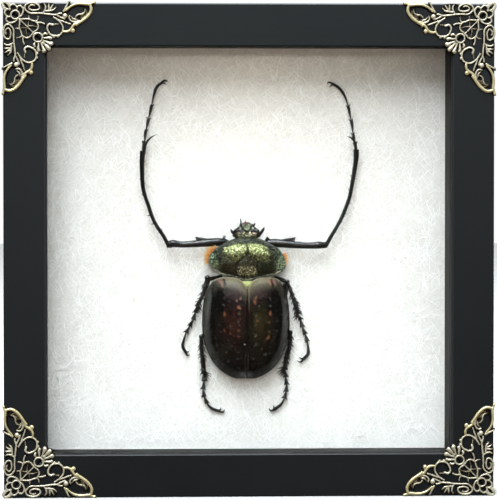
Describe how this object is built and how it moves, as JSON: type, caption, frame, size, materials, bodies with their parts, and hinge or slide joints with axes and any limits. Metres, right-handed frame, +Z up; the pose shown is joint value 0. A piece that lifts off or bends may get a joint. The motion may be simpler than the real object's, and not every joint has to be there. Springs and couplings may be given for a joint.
{
  "type": "framed long-armed scarab beetle in a shadow box",
  "caption": "Square black shadow box with pierced brass corner ornaments, holding a spread long-armed scarab beetle on white paper behind glass, to hang or stand.",
  "frame": {"origin": "centre of the bounding box's bottom, on the underside of the bottom rail", "axes": "+Z up along the beetle's body towards its head, -Y out of the glass towards the viewer, +X to the right as seen from the front"},
  "size_m": [0.201, 0.033, 0.2015],
  "materials": {
    "frame_paint": "satin black paint",
    "glass": "clear, polished",
    "white_paper": "matt white with fine fibres",
    "backing_board": "plain fibreboard",
    "spacer_card": "matt black",
    "steel": "plain sheet and wire",
    "antique_brass": "antiqued, dark in the hollows, bright on the edges",
    "green_shell": "metallic yellow-green to dark olive, finely pitted",
    "wing_case": "glossy black-brown with orange spots and a grey rim",
    "shield_shell": "smooth pale yellow-green",
    "orange_hair": "fine orange hair",
    "black_shell": "glossy black"
  },
  "bodies": {
    "root": {"antenna_left": "black_shell", "antenna_right": "black_shell", "backing_board": "backing_board", "backing_paper": "white_paper", "corner_ornament_bottom_left": "antique_brass", "corner_ornament_bottom_right": "antique_brass", "corner_ornament_top_left": "antique_brass", "corner_ornament_top_right": "antique_brass", "elytron_left": "wing_case", "elytron_right": "wing_case", "frame_rail_bottom": "frame_paint", "frame_rail_left": "frame_paint", "frame_rail_right": "frame_paint", "frame_rail_top": "frame_paint", "front_left_femur": "black_shell", "front_left_tarsus": "black_shell", "front_left_tibia": "black_shell", "front_right_femur": "black_shell", "front_right_tarsus": "black_shell", "front_right_tibia": "black_shell", "glass_pane": "glass", "hair_tuft_left": "orange_hair", "hair_tuft_right": "orange_hair", "hanger_nail_left": "steel", "hanger_nail_right": "steel", "head": "green_shell", "hind_left_femur": "black_shell", "hind_left_tarsus": "black_shell", "hind_left_tibia": "black_shell", "hind_right_femur": "black_shell", "hind_right_tarsus": "black_shell", "hind_right_tibia": "black_shell", "middle_left_femur": "black_shell", "middle_left_tarsus": "black_shell", "middle_left_tibia": "black_shell", "middle_right_femur": "black_shell", "middle_right_tarsus": "black_shell", "middle_right_tibia": "black_shell", "palp_left": "black_shell", "palp_right": "black_shell", "prothorax": "green_shell", "retaining_tab_bottom_1": "steel", "retaining_tab_bottom_2": "steel", "retaining_tab_left_1": "steel", "retaining_tab_left_2": "steel", "retaining_tab_right_1": "steel", "retaining_tab_right_2": "steel", "retaining_tab_top_1": "steel", "retaining_tab_top_2": "steel", "sawtooth_hanger": "steel", "scutellum": "shield_shell", "spacer_bottom": "spacer_card", "spacer_left": "spacer_card", "spacer_right": "spacer_card", "spacer_top": "spacer_card", "thorax_and_abdomen": "black_shell"}
  },
  "joints": []
}
